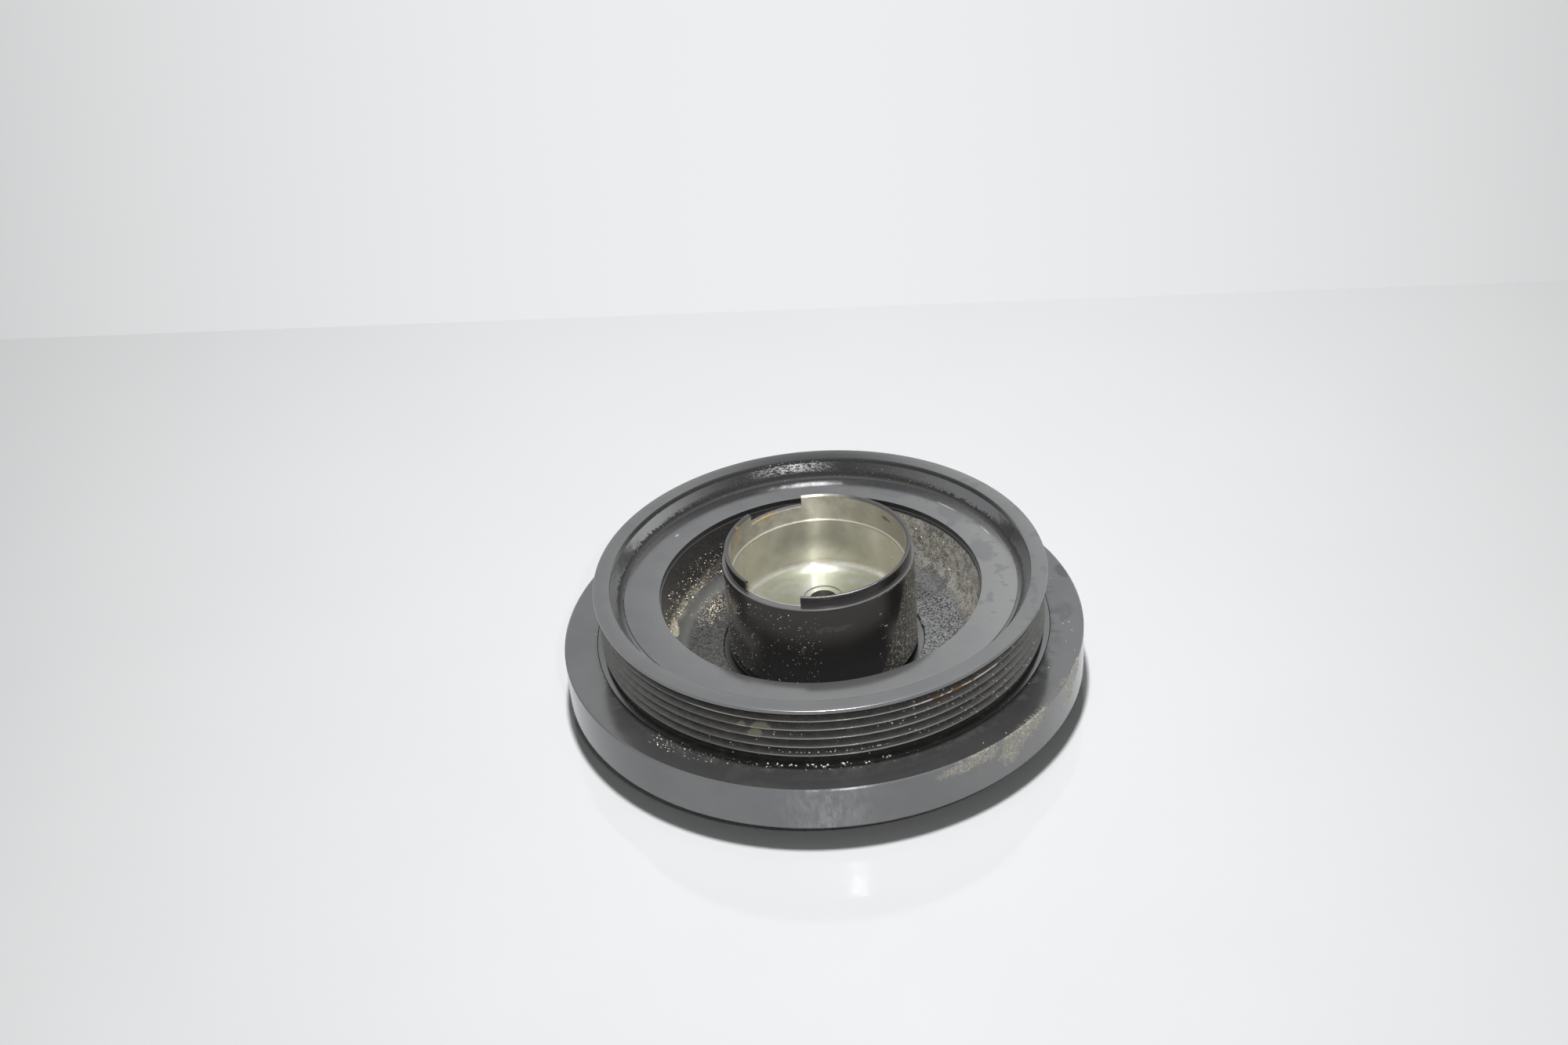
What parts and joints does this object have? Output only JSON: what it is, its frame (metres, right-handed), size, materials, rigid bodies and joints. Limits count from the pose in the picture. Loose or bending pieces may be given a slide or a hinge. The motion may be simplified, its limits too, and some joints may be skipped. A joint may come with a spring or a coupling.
{
  "type": "harmonic balancer",
  "caption": "Crankshaft balancer with a ribbed belt rim, a dished cast web, a heavy outer ring on bonded rubber and a pressed-in steel cup with a slotted lip.",
  "frame": {"origin": "centre of the rear nose face, which the part stands on", "axes": "+Z along the shaft axis towards the front of the engine, with the cup's lip on top; +X to the right of the picture, +Y away from the camera"},
  "size_m": [0.1828, 0.1828, 0.0572],
  "materials": {
    "sleeve_steel": "satin",
    "casting_paint": "gloss",
    "rubber": "matte",
    "ring_paint": "gloss"
  },
  "bodies": {
    "root": {"hub_sleeve": "sleeve_steel", "pulley_casting": "casting_paint", "rubber_ring": "rubber", "inertia_ring": "ring_paint"}
  },
  "joints": []
}
